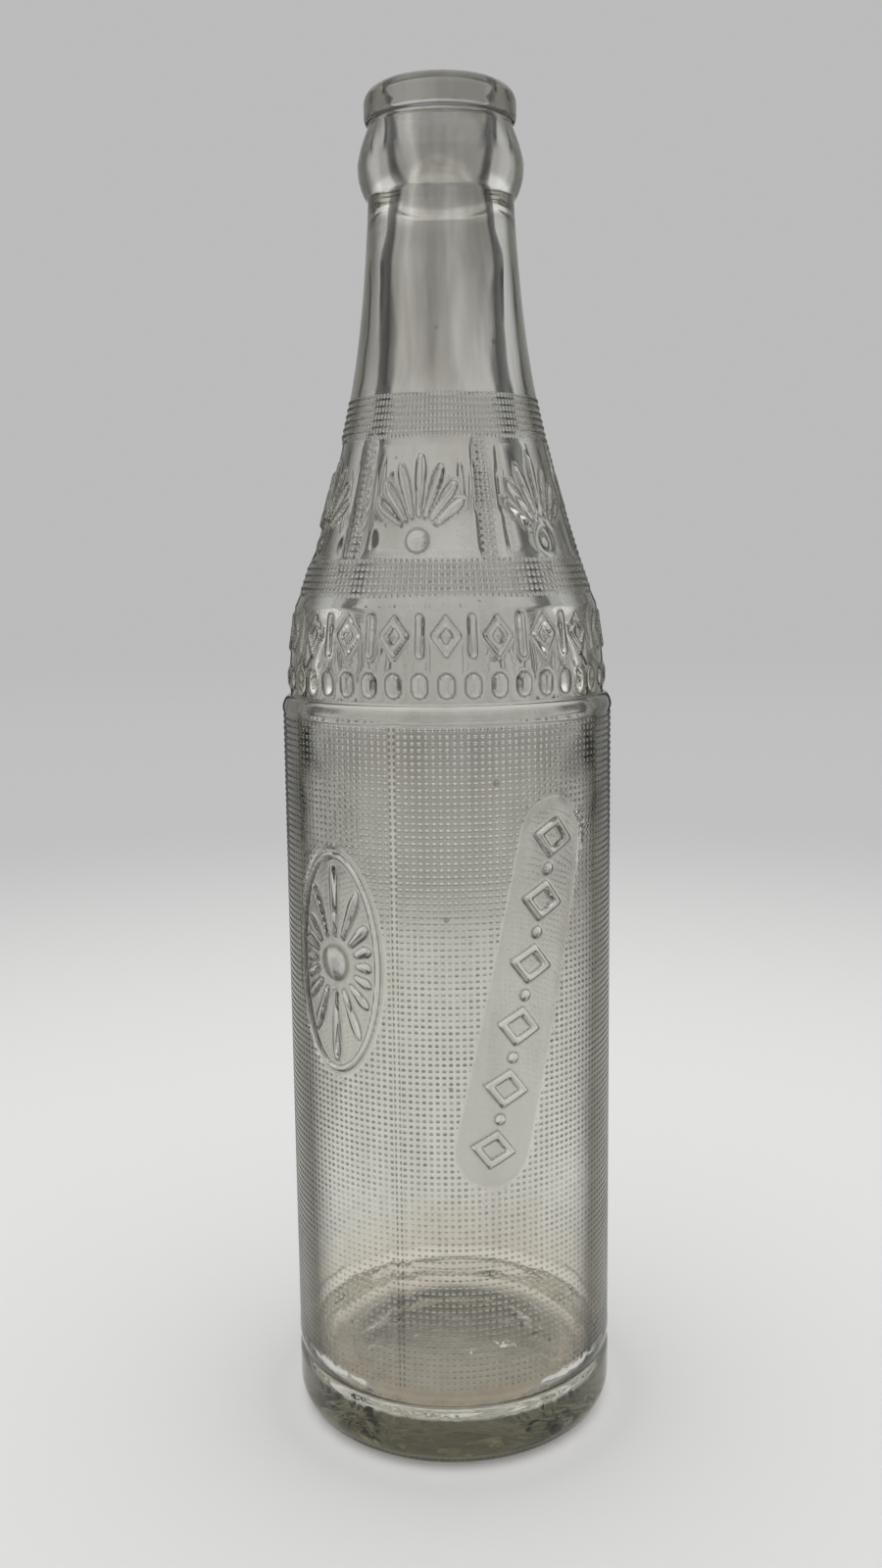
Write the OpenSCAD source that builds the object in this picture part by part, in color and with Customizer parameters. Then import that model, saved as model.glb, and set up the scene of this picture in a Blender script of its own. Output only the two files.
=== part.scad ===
// Soda water bottle of clear moulded glass, open and empty, standing upright.
// The origin is on the axis at table level, +Z is up and the bottle's front faces -Y.
// The glass is split at its moulded zones, which meet face to face.

/* [Heights of the zones] */
// Height of the rounded crown lip
lip_h = 5.9; // [5:0.1:8]
// Height of the collar below the lip
collar_h = 12.9; // [10:0.1:18]
// Height of the plain neck
neck_h = 33.5; // [20:0.5:60]
// Height of the flaring shoulder
shoulder_h = 34.6; // [28:0.2:60]
// Height of the stepped band below the shoulder
band_h = 17.4; // [16.4:0.1:24]
// Height of the straight body wall
body_h = 123; // [110:1:180]
// Height of the smooth heel
heel_h = 14; // [13:0.1:20]

/* [Outside] */
// Diameter of the body
body_d = 60.3; // [59:0.1:64]
// Diameter of the crown lip, which a crown cork grips
lip_d = 26.6; // [26:0.1:28]
// Depth of the notch between lip and collar, measured from the lip
notch_depth = 0.9; // [0.5:0.05:1.4]
// Largest diameter of the collar
collar_d = 29.1; // [27.5:0.1:32]
// Diameter of the neck where it leaves the collar
neck_d = 25.6; // [24.5:0.1:27]
// Diameter where the neck runs into the shoulder
neck_foot_d = 33.4; // [30:0.1:36]
// Setback of the shoulder's foot from the body's surface
shoulder_setback = 3.45; // [3:0.05:5]
// Setback of the band's upper edge from the body's surface
band_top_setback = 2.75; // [2:0.05:2.95]
// Setback of the band's foot from the body's surface
band_foot_setback = 1.55; // [0.8:0.05:1.8]
// Height of the rounded bead at the top of the body
bead_h = 3.4; // [2:0.1:6]
// Rounding of the lip's outer top edge
lip_round = 2.7; // [1.5:0.1:2.8]
// Rounding of the mouth's inner edge
mouth_round = 1.3; // [0.5:0.1:1.3]
// Height of the rounding under the lip
lip_under_h = 1.6; // [0.8:0.1:2]

/* [Inside] */
// Diameter of the straight throat
throat_d = 18.6; // [15:0.1:20]
// Wall of the neck below the throat's step
neck_wall = 2.8; // [2:0.1:4]
// Height of the step from the throat to the neck's inside
step_h = 4.5; // [2:0.1:8]
// Wall where the neck runs into the shoulder
neck_foot_wall = 5; // [2.5:0.1:6]
// Wall at the foot of the shoulder
shoulder_foot_wall = 6.3; // [3:0.1:8]
// Wall at the foot of the band
band_foot_wall = 2.2; // [1.5:0.05:4]
// Wall of the body's thin upper part
upper_wall = 2.15; // [1.5:0.05:4]
// Drop from the body's top edge to that thin part
upper_bore_drop = 10; // [6:0.5:14]
// Wall of the body's thick waist
waist_wall = 3.85; // [2:0.05:6]
// Drop from the body's top edge to the start of the waist
waist_top_drop = 30; // [24:0.5:38]
// Drop from the body's top edge to the end of the waist
waist_foot_drop = 65; // [50:0.5:72]
// Wall of the body's thin lower part
lower_wall = 1.55; // [1.2:0.05:4]
// Rise from the heel's top edge to the upper end of that thin part
lower_bore_rise = 28; // [22:0.5:34]
// Rise from the heel's top edge to where the inside starts to draw in
draw_in_rise = 8; // [3:0.5:16]
// Wall at the heel's top edge
heel_wall = 2.05; // [1.6:0.05:3.4]
// Thickness of the bottom beside its centre
floor_t = 9; // [6.5:0.1:9.8]
// Rise of the inner floor's middle
floor_crown = 1.2; // [0:0.1:2]

/* [Heel and base] */
// Width of the rounding at the table
heel_round_w = 4; // [2:0.1:5]
// Height of the rounding at the table
heel_round_h = 4.5; // [2:0.1:6]
// Depth of the groove round the heel
groove_depth = 0.4; // [0.2:0.05:0.8]
// Width of the groove round the heel
groove_w = 3; // [1.5:0.1:4]
// Drop from the heel's top edge to the groove's upper edge
groove_drop = 0.8; // [0.3:0.1:3]
// Width of the flat ring that the bottle stands on
bearing_w = 2.6; // [1.5:0.1:6]
// Rise of the push-up under the bottom
push_up = 2.4; // [1:0.1:4]

/* [Shoulder panels] */
// Number of panels round the shoulder
panel_count = 6; // [4:1:8]
// Angle across one panel
panel_angle = 53; // [30:1:54]
// Drop from the shoulder's top edge to the panels
panel_drop = 7.4; // [4:0.1:9]
// Rise of the panels above the shoulder's foot
panel_rise = 6.6; // [4:0.1:9]
// Depth of the panels below the stippled frame
panel_depth = 0.35; // [0.2:0.05:0.6]
// Angle from the front to the rib at the mould seam
seam_angle = 18.5; // [-30:0.5:30]
// Width of the ribs between the panels
rib_w = 0.9; // [0.5:0.1:1.4]
// Height of the ribs and fans above the shoulder's surface
shoulder_relief = 0.3; // [0.15:0.05:0.5]
// Blades in one fan
fan_blades = 7; // [3:2:9]
// Angle between two blades of a fan
fan_step = 16; // [10:1:17]
// Length from a fan's pivot to its longest blade's tip
fan_length = 14.5; // [10:0.1:15.5]
// Length from a fan's pivot to the root of its blades
fan_root = 3.6; // [3.2:0.1:5]
// Width of a blade near its tip
blade_w = 2.2; // [1.2:0.1:2.6]
// Radius of the boss at a fan's pivot
fan_boss_r = 2.2; // [1.2:0.1:2.6]
// Rise of a fan's pivot above the panel's foot
fan_rise = 3; // [2.7:0.1:4]

/* [Rows round the band] */
// Lozenges in the tall row
lozenge_count = 20; // [12:1:22]
// Height of the tall row
tall_row_h = 7.4; // [5:0.1:7.8]
// Width of a lozenge
lozenge_w = 5.4; // [3:0.1:5.6]
// Width of the bars between the lozenges
bar_w = 1.6; // [0.8:0.1:1.8]
// Width of a lozenge's raised line
lozenge_line = 1.2; // [0.7:0.1:1.4]
// Drop from the band's top edge to the tall row
tall_row_drop = 2.3; // [1.2:0.1:2.6]
// Beads in the low row
bead_count = 40; // [24:1:46]
// Width of a bead in the low row
bead_w = 3; // [1.5:0.1:3.2]
// Height of the low row
low_row_h = 4.4; // [3:0.1:4.8]
// Rise of the low row above the band's foot
low_row_rise = 1; // [0.6:0.1:1.6]
// Height of both rows above the band's surface
band_relief = 0.5; // [0.3:0.05:0.7]

/* [Oval place] */
// Angle from the front to the oval's middle
oval_angle = -42; // [-60:1:-35]
// Height of the oval's middle above the heel
oval_rise = 77.8; // [60:0.1:88]
// Width of the oval
oval_w = 21.2; // [18:0.1:24]
// Height of the oval
oval_h = 41; // [34:0.1:46]
// Depth of the smooth places below the stipple's tips
place_depth = 0.4; // [0.2:0.05:0.6]
// Height of the ornament above the smooth places
place_relief = 0.55; // [0.3:0.05:0.7]
// Petals of the rosette
petal_count = 16; // [8:2:18]
// Width of the rosette's petals
petal_w = 2.2; // [1.2:0.1:2.3]
// Radius of the rosette's boss
boss_r = 3.4; // [2:0.1:4]
// Length from the rosette's middle to the petals' roots
petal_root = 4.6; // [4.3:0.1:5.4]
// Width of the raised line round the oval
rim_w = 0.9; // [0.5:0.1:1.1]
// Clear width on both sides of that line
rim_gap = 0.9; // [0.5:0.1:1.2]

/* [Slanted place] */
// Angle from the front to the slanted place's middle
slant_angle = 25.5; // [22:0.5:36]
// Height of the slanted place's middle above the heel
slant_rise = 73; // [60:0.5:76]
// Lean of the slanted place from upright
slant_lean = 12.6; // [0:0.2:16]
// Width of the slanted place
slant_w = 13.6; // [12:0.1:16]
// Height of the slanted place
slant_h = 69; // [60:0.5:76]
// Lozenges in the slanted place
slant_count = 6; // [3:1:7]
// Width of a lozenge in the slanted place
slant_lozenge_w = 8.6; // [5:0.1:9]
// Height of a lozenge in the slanted place
slant_lozenge_h = 7.2; // [4:0.1:7.4]
// Radius of the beads between those lozenges
slant_bead_r = 1.1; // [0.6:0.1:1.2]

/* [Hidden] */
$fn = 96;

// Pieces of a curve, and of half an oval
curve_steps = 10;
oval_steps = 48;
// Overrun of every cut past the surface that it cuts
overrun = 2;

// Heights of the zones' edges above the table
heel_top = heel_h;
body_top = heel_top + body_h;
band_top = body_top + band_h;
shoulder_top = band_top + shoulder_h;
neck_top = shoulder_top + neck_h;
collar_top = neck_top + collar_h;
bottle_top = collar_top + lip_h;

// Outer diameters that follow the body and the lip
notch_d = lip_d - 2 * notch_depth;
shoulder_foot_d = body_d - 2 * shoulder_setback;
band_top_d = body_d - 2 * band_top_setback;
band_foot_d = body_d - 2 * band_foot_setback;

// Inner diameters that leave the named walls
neck_bore_d = neck_d - 2 * neck_wall;
neck_foot_bore_d = neck_foot_d - 2 * neck_foot_wall;
shoulder_foot_bore_d = shoulder_foot_d - 2 * shoulder_foot_wall;
band_foot_bore_d = band_foot_d - 2 * band_foot_wall;
upper_bore_d = body_d - 2 * upper_wall;
waist_bore_d = body_d - 2 * waist_wall;
lower_bore_d = body_d - 2 * lower_wall;
heel_bore_d = body_d - 2 * heel_wall;

// Radii
body_r = body_d / 2;
lip_r = lip_d / 2;
throat_r = throat_d / 2;
bearing_r = body_r - heel_round_w;

// The two roundings of the mouth fit on the lip's wall
mouth_wall_share = 0.34;
lip_wall = lip_r - throat_r;
mouth_edge = min(mouth_round, lip_wall * mouth_wall_share);
lip_edge = min(lip_round, lip_wall - mouth_edge);

// Clear glass, a little grey and olive
glass = [0.80, 0.82, 0.77];
glass_edge = [0.62, 0.64, 0.56];
glass_relief = [0.90, 0.91, 0.88];

// A curve from p to s that leaves and arrives towards q
function bend(p, q, s) =
    [for (i = [0 : curve_steps]) let (t = i / curve_steps)
        (1 - t) * (1 - t) * p + 2 * t * (1 - t) * q + t * t * s];

// A curve from p to s that leaves and arrives upright
function ease(p, s) =
    [for (i = [0 : curve_steps]) let (t = i / curve_steps)
        [p[0] + (s[0] - p[0]) * (1 - cos(180 * t)) / 2, p[1] + (s[1] - p[1]) * t]];

// A point between p and s, by a share across and a share up
function between(p, s, share_r, share_z) =
    [p[0] + (s[0] - p[0]) * share_r, p[1] + (s[1] - p[1]) * share_z];

// The same points in the other order
function turned(points) = [for (i = [len(points) - 1 : -1 : 0]) points[i]];

// The same points moved out from the axis
function moved_out(points, by) = [for (p = points) [p[0] + by, p[1]]];

// An oval's outline
function oval(w, h) =
    [for (i = [0 : oval_steps - 1]) let (a = 360 * i / oval_steps) [w / 2 * cos(a), h / 2 * sin(a)]];

// Radius of an oval towards an angle from upright
function oval_reach(w, h, a) =
    1 / sqrt(pow(sin(a) / (w / 2), 2) + pow(cos(a) / (h / 2), 2));

// Outside of the collar, from its foot up
collar_widest_share = 0.45;
collar_widest = [collar_d / 2, neck_top + collar_h * collar_widest_share];
collar_foot = [neck_d / 2, neck_top];
collar_head = [notch_d / 2, collar_top];
collar_low_share = 0.54;
collar_high_share = 0.3;
collar_outside = concat(
    bend(collar_foot, [collar_widest[0], neck_top + (collar_widest[1] - neck_top) * (1 - collar_low_share)],
         collar_widest),
    bend(collar_widest, [collar_widest[0], collar_widest[1] + (collar_top - collar_widest[1]) * collar_high_share],
         collar_head));

// Outside of the neck and the shoulder, from the foot up
neck_curve_shares = [0.333, 0.352];
shoulder_curve_shares = [0.373, 0.5];
neck_foot = [neck_foot_d / 2, shoulder_top];
shoulder_foot = [shoulder_foot_d / 2, band_top];
neck_outside = bend(neck_foot, between(collar_foot, neck_foot, neck_curve_shares[0], 1 - neck_curve_shares[1]),
                    collar_foot);
shoulder_outside = bend(shoulder_foot,
                        between(neck_foot, shoulder_foot, shoulder_curve_shares[0], shoulder_curve_shares[1]),
                        neck_foot);

// Outside of the band, from its foot up
band_step_share = 0.09;
band_straight_share = 0.27;
band_head = [band_top_d / 2, band_top - band_h * band_step_share];
band_foot = [band_foot_d / 2, body_top];
band_outside = concat(
    [band_foot],
    ease([band_foot[0], band_foot[1] + band_h * band_straight_share], band_head),
    [shoulder_foot]);

// Outside of the body, from its foot up
bead_corner_share = 0.25;
body_outside = concat(
    [[body_r, heel_top]],
    bend([body_r, body_top - bead_h], [body_r, body_top - bead_h * bead_corner_share], band_foot));

// Outside of the heel, from the bearing ring up
groove_top = heel_top - groove_drop;
groove_foot = groove_top - groove_w;
heel_outside = concat(
    [for (i = [0 : curve_steps]) let (a = 90 * i / curve_steps)
        [bearing_r + heel_round_w * sin(a), heel_round_h * (1 - cos(a))]],
    ease([body_r, groove_foot], [body_r - groove_depth, (groove_foot + groove_top) / 2]),
    ease([body_r - groove_depth, (groove_foot + groove_top) / 2], [body_r, groove_top]),
    [[body_r, heel_top]]);

// Inside, zone by zone, from the foot up
inner_neck_foot = [neck_foot_bore_d / 2, shoulder_top];
inner_shoulder_foot = [shoulder_foot_bore_d / 2, band_top];
inner_band_foot = [band_foot_bore_d / 2, body_top];
inner_heel_top = [heel_bore_d / 2, heel_top];
inner_neck_share = 0.42;
inner_shoulder_shares = [0.36, 0.5];
inner_band_shares = [0.55, 0.42];
step_foot = [neck_bore_d / 2, neck_top - step_h];
neck_inside = concat(
    bend(inner_neck_foot, [step_foot[0], shoulder_top + (step_foot[1] - shoulder_top) * inner_neck_share],
         step_foot),
    ease(step_foot, [throat_r, neck_top]));
shoulder_inside = bend(inner_shoulder_foot,
                       between(inner_neck_foot, inner_shoulder_foot, inner_shoulder_shares[0],
                               inner_shoulder_shares[1]),
                       inner_neck_foot);
band_inside = bend(inner_band_foot,
                   between(inner_shoulder_foot, inner_band_foot, inner_band_shares[0], inner_band_shares[1]),
                   inner_shoulder_foot);
upper_wide = [upper_bore_d / 2, body_top - upper_bore_drop];
waist_top = [waist_bore_d / 2, body_top - waist_top_drop];
waist_foot = [waist_bore_d / 2, body_top - waist_foot_drop];
lower_wide = [lower_bore_d / 2, heel_top + lower_bore_rise];
body_inside = concat(
    bend(inner_heel_top, [lower_wide[0], heel_top + draw_in_rise / 2],
         [lower_wide[0], heel_top + draw_in_rise]),
    ease(lower_wide, waist_foot),
    ease(waist_top, upper_wide),
    bend(upper_wide, [upper_wide[0], upper_wide[1] + upper_bore_drop / 2], inner_band_foot));

// Inside of the heel, and the floor out to where the heel begins
floor_edge_share = 0.28;
floor_flat_share = 0.72;
floor_edge = [bearing_r, floor_t + (heel_top - floor_t) * floor_edge_share];
heel_curve_shares = [0.8, 0.4];
heel_inside = bend(floor_edge, between(floor_edge, inner_heel_top, heel_curve_shares[0], heel_curve_shares[1]),
                   inner_heel_top);
floor_flat = [bearing_r * floor_flat_share, floor_t];
floor_outline = concat(
    bend([0, floor_t + floor_crown], [floor_flat[0] / 2, floor_t + floor_crown], floor_flat),
    bend(floor_flat, [(floor_flat[0] + floor_edge[0]) / 2, floor_t], floor_edge));

// Underside of the base, from the bearing ring's inner edge to the middle
arch_r = bearing_r - bearing_w;
arch_outline = bend([arch_r, 0], [arch_r / 2, push_up], [0, push_up]);

// The solid that two outlines enclose, each running from the foot up
module ring_between(outside, inside) {
    rotate_extrude() polygon(concat(outside, turned(inside)));
}

// The skin that stands on an outline, from one height to another above it
module skin(outline, from, to) {
    ring_between(moved_out(outline, to), moved_out(outline, from));
}

// Stands a flat shape up at an angle from the front and a height, as a block that runs outwards
module facing(angle, height, depth) {
    rotate([0, 0, angle - 90]) translate([0, 0, height]) rotate([90, 0, 90])
        linear_extrude(depth) children();
}

// A lozenge drawn as a line
module lozenge_line_shape(w, h, line) {
    inner_w = w - 2 * line * sqrt(w * w + h * h) / h;
    inner_h = inner_w * h / w;
    difference() {
        polygon([[w / 2, 0], [0, h / 2], [-w / 2, 0], [0, -h / 2]]);
        polygon([[inner_w / 2, 0], [0, inner_h / 2], [-inner_w / 2, 0], [0, -inner_h / 2]]);
    }
}

// A leaf from a root to a tip along +Y
module leaf(root, tip, w) {
    widest_share = 0.68;
    foot_share = 0.33;
    waist = root + (tip - root) * widest_share;
    foot_w = w * foot_share;
    polygon([[-foot_w / 2, root], [foot_w / 2, root], [w / 2, waist], [0, tip], [-w / 2, waist]]);
}

// Rounded crown lip with its mouth
module lip_ring() {
    under = bend(collar_head, [lip_r, collar_top], [lip_r, collar_top + lip_under_h]);
    top = [for (i = [0 : curve_steps]) let (a = 90 * i / curve_steps)
        [lip_r - lip_edge + lip_edge * cos(a), bottle_top - lip_edge + lip_edge * sin(a)]];
    mouth = [for (i = [0 : curve_steps]) let (a = 90 * i / curve_steps)
        [throat_r + mouth_edge - mouth_edge * sin(a), bottle_top - mouth_edge + mouth_edge * cos(a)]];
    color(glass_edge) rotate_extrude() polygon(concat(under, top, mouth, [[throat_r, collar_top]]));
}

// Collar below the lip, with the straight throat through it
module finish_collar() {
    color(glass) ring_between(collar_outside, [[throat_r, neck_top], [throat_r, collar_top]]);
}

// Plain neck
module neck() {
    color(glass_relief) ring_between(neck_outside, neck_inside);
}

// Angles from the front to the panels' middles
panel_step = 360 / panel_count;
panel_angles = [for (i = [0 : panel_count - 1]) seam_angle + panel_step * (i + 1 / 2)];
panel_foot = band_top + panel_rise;
panel_head = shoulder_top - panel_drop;
panel_h = panel_head - panel_foot;

// The wedge that one panel takes up, as a block round its middle
module panel_wedge(angle) {
    reach = 2 * body_r;
    half = panel_angle / 2;
    translate([0, 0, panel_foot]) rotate([0, 0, angle - 90])
        linear_extrude(panel_h)
            polygon([[0, 0], [reach, -reach * tan(half)], [reach, reach * tan(half)]]);
}

// Shoulder with the panels let into it
module shoulder() {
    color(glass) difference() {
        ring_between(shoulder_outside, shoulder_inside);
        intersection() {
            skin(shoulder_outside, -panel_depth, overrun);
            union() for (a = panel_angles) panel_wedge(a);
        }
    }
}

// Upright ribs between the panels
module panel_ribs() {
    color(glass_relief) for (a = panel_angles)
        rotate([0, 0, a + panel_step / 2]) intersection() {
            skin(shoulder_outside, 0, shoulder_relief);
            facing(0, panel_foot, body_r)
                translate([-rib_w / 2, 0]) square([rib_w, panel_h]);
        }
}

// Fans standing in the panels
fan_drawn_in_share = 0.3;
module panel_fans() {
    last = (fan_blades - 1) / 2;
    color(glass_relief) for (a = panel_angles)
        rotate([0, 0, a]) intersection() {
            skin(shoulder_outside, -panel_depth, shoulder_relief);
            facing(0, panel_foot + fan_rise, body_r) {
                circle(fan_boss_r);
                for (k = [-last : last])
                    rotate(k * fan_step)
                        leaf(fan_root, fan_length * (1 - fan_drawn_in_share * abs(k) / last), blade_w);
            }
        }
}

// Stepped band between shoulder and body
module shoulder_band() {
    color(glass) ring_between(band_outside, band_inside);
}

// Tall row of lozenges and bars round the band
module band_lozenges() {
    middle = band_top - tall_row_drop - tall_row_h / 2;
    step = 360 / lozenge_count;
    color(glass_relief) for (i = [0 : lozenge_count - 1]) {
        rotate([0, 0, i * step]) intersection() {
            skin(band_outside, 0, band_relief);
            facing(0, middle, body_r) lozenge_line_shape(lozenge_w, tall_row_h, lozenge_line);
        }
        rotate([0, 0, (i + 1 / 2) * step]) intersection() {
            skin(band_outside, 0, band_relief);
            facing(0, middle, body_r)
                translate([-bar_w / 2, -tall_row_h / 2]) square([bar_w, tall_row_h]);
        }
    }
}

// Low row of beads round the band
module band_beads() {
    middle = body_top + low_row_rise + low_row_h / 2;
    step = 360 / bead_count;
    straight = low_row_h - bead_w;
    color(glass_relief) for (i = [0 : bead_count - 1])
        rotate([0, 0, i * step]) intersection() {
            skin(band_outside, 0, band_relief);
            facing(0, middle, body_r) {
                translate([-bead_w / 2, -straight / 2]) square([bead_w, straight]);
                for (side = [-1, 1]) translate([0, side * straight / 2]) circle(bead_w / 2);
            }
        }
}

oval_z = heel_top + oval_rise;
slant_z = heel_top + slant_rise;
place_r = body_r - place_depth;

// The slanted place's outline, a band with round ends
module slant_shape() {
    r = slant_w / 2;
    straight = slant_h - slant_w;
    rotate(-slant_lean) {
        translate([-r, -straight / 2]) square([slant_w, straight]);
        for (side = [-1, 1]) translate([0, side * straight / 2]) circle(r);
    }
}

// Straight body wall with the two smooth places let into it
module body_wall() {
    color(glass) difference() {
        ring_between(body_outside, body_inside);
        difference() {
            union() {
                facing(oval_angle, oval_z, 2 * body_r) polygon(oval(oval_w, oval_h));
                facing(slant_angle, slant_z, 2 * body_r) slant_shape();
            }
            cylinder(r = place_r, h = bottle_top);
        }
    }
}

// Ring of glass in which the ornament of the smooth places stands
module place_skin() {
    difference() {
        cylinder(r = place_r + place_relief, h = body_top);
        translate([0, 0, -overrun]) cylinder(r = place_r, h = body_top + 2 * overrun);
    }
}

// Rosette in the oval place: a boss, petals and a line round them
module oval_rosette() {
    line_w = oval_w - 2 * rim_gap;
    line_h = oval_h - 2 * rim_gap;
    inner_w = line_w - 2 * rim_w;
    inner_h = line_h - 2 * rim_w;
    color(glass_relief) intersection() {
        place_skin();
        facing(oval_angle, oval_z, 2 * body_r) {
            difference() {
                polygon(oval(line_w, line_h));
                polygon(oval(inner_w, inner_h));
            }
            circle(boss_r);
            for (i = [0 : petal_count - 1])
                rotate(360 * i / petal_count)
                    leaf(petal_root, oval_reach(inner_w, inner_h, 360 * i / petal_count) - rim_gap, petal_w);
        }
    }
}

// Column of lozenges and beads in the slanted place
module slanted_lozenges() {
    pitch = (slant_h - slant_w) / (slant_count - 1);
    color(glass_relief) intersection() {
        place_skin();
        facing(slant_angle, slant_z, 2 * body_r) rotate(-slant_lean)
            for (i = [0 : slant_count - 1]) {
                y = (i - (slant_count - 1) / 2) * pitch;
                translate([0, y]) lozenge_line_shape(slant_lozenge_w, slant_lozenge_h, lozenge_line);
                if (i > 0) translate([0, y - pitch / 2]) circle(slant_bead_r);
            }
    }
}

// Smooth heel with its groove and the rounding at the table
module heel() {
    color(glass_edge) ring_between(heel_outside, heel_inside);
}

// Thick bottom with the push-up and the bearing ring
module base() {
    color(glass_edge) rotate_extrude()
        polygon(concat(floor_outline, [[bearing_r, 0]], arch_outline));
}

lip_ring();
finish_collar();
neck();
shoulder();
panel_ribs();
panel_fans();
shoulder_band();
band_lozenges();
band_beads();
body_wall();
oval_rosette();
slanted_lozenges();
heel();
base();
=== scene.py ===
# %% [markdown]
# Soda water bottle, dressed for rendering
#
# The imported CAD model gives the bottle's size and the places of its moulded zones. A real bottle is one
# piece of glass, though, and a ray of light that crosses it must meet each surface once. So the zones
# are not shown one by one: this lesson turns one closed skin of glass from the same outlines, presses
# the ornament into it, and lets that skin stand for all the zones.

# %% Load the frame
import math

import bmesh
import bpy
from mathutils import Matrix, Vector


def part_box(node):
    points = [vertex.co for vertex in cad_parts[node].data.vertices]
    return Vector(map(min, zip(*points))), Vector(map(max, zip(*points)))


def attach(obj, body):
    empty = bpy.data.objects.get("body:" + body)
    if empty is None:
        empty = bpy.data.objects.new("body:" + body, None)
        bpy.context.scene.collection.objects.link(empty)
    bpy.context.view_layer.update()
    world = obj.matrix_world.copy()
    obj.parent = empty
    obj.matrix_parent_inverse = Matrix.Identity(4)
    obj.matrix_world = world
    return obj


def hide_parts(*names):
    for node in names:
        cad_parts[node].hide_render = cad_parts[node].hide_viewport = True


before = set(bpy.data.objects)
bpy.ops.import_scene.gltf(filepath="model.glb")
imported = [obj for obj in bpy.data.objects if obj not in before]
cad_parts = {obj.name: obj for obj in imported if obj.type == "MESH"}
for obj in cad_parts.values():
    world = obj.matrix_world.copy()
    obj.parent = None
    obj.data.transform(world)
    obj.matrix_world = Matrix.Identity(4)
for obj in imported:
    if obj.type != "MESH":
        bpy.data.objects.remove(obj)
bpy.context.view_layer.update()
scene = bpy.context.scene
MM = 0.001

# %% [markdown]
# The camera stands where the photographer's stood: close by, a little above the shoulder, looking
# slightly down. Its place came from the ellipses that the lip, the body and the heel draw in the photo.

# %% Camera
FRAME_H = 1600
focal_px = 1474
camera_away = 266 * MM
camera_height = 160.6 * MM
tilt_down = math.radians(8.77)
turn = math.radians(0.27)
roll = math.radians(-0.71)

lens = bpy.data.cameras.new("camera")
lens.sensor_width = 36
lens.lens = lens.sensor_width * focal_px / FRAME_H
lens.clip_start = 10 * MM
camera = bpy.data.objects.new("camera", lens)
camera.matrix_world = (Matrix.Translation((0, -camera_away, camera_height))
                       @ Matrix.Rotation(turn, 4, "Z")
                       @ Matrix.Rotation(math.pi / 2 - tilt_down, 4, "X")
                       @ Matrix.Rotation(roll, 4, "Z"))
scene.collection.objects.link(camera)
scene.camera = camera
print("lens %.2f mm, camera %.0f mm away" % (lens.lens, camera_away / MM))

# %% [markdown]
# The zones of the bottle are the lip, the collar, the neck, the shoulder, the band, the body and the
# heel. Their heights are read from the frame, so the skin ends where the CAD zones end.

# %% Heights of the zones
def top_of(node):
    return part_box(node)[1].z / MM


def reach_of(node):
    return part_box(node)[1].x / MM


heel_top = top_of("heel")
body_top = top_of("body_wall")
band_top = top_of("shoulder_band")
shoulder_top = top_of("shoulder")
neck_top = top_of("neck")
collar_top = top_of("finish_collar")
body_r = reach_of("body_wall")
collar_r = reach_of("finish_collar")
lip_r = reach_of("lip_ring")
zone_tops = (heel_top, body_top, band_top, shoulder_top, neck_top, collar_top)
print("zones end at", [round(z, 1) for z in zone_tops])

# %% [markdown]
# The outline of the glass is drawn as one line from the middle of the inner floor, up the inside, over
# the lip, down the outside and back to the axis under the base. A subdivided curve could draw it, but
# four plain helpers say more clearly which point lies where.

# %% Curves of an outline
def shares(steps):
    """Even shares of the way, up to the whole."""
    return [i / steps for i in range(1, steps + 1)]


def bend(start, corner, end, steps):
    """A curve from start to end that leaves and arrives towards a corner."""
    return [tuple((1 - t) ** 2 * a + 2 * t * (1 - t) * b + t * t * c
                  for a, b, c in zip(start, corner, end)) for t in shares(steps)]


def ease(start, end, steps):
    """A curve from start to end that leaves and arrives upright."""
    return [(start[0] + (end[0] - start[0]) * ((1 - math.cos(math.pi * t)) / 2),
             start[1] + (end[1] - start[1]) * t) for t in shares(steps)]


def arc(middle, radius_r, radius_z, angle_from, angle_to, steps):
    """A part of an ellipse, by angles from the outward direction."""
    turns = [math.radians(angle_from + (angle_to - angle_from) * i / steps) for i in range(1, steps + 1)]
    return [(middle[0] + radius_r * math.cos(a), middle[1] + radius_z * math.sin(a)) for a in turns]


def line(start, end, steps):
    """Even steps along a straight line."""
    return [tuple(a + (b - a) * i / steps for a, b in zip(start, end)) for i in range(1, steps + 1)]


print("a bend in two steps:", bend((0, 0), (1, 0), (1, 1), 2))

# %% [markdown]
# Air blown into the hot glass shapes the inside, so no mould touches it and its curves are slack. It
# can't be measured in the photo and is guessed: a thick floor with a round corner, a waist behind the
# ornament, a wall that thickens towards the neck, and a straight throat where the blowpipe's plug was.

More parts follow.
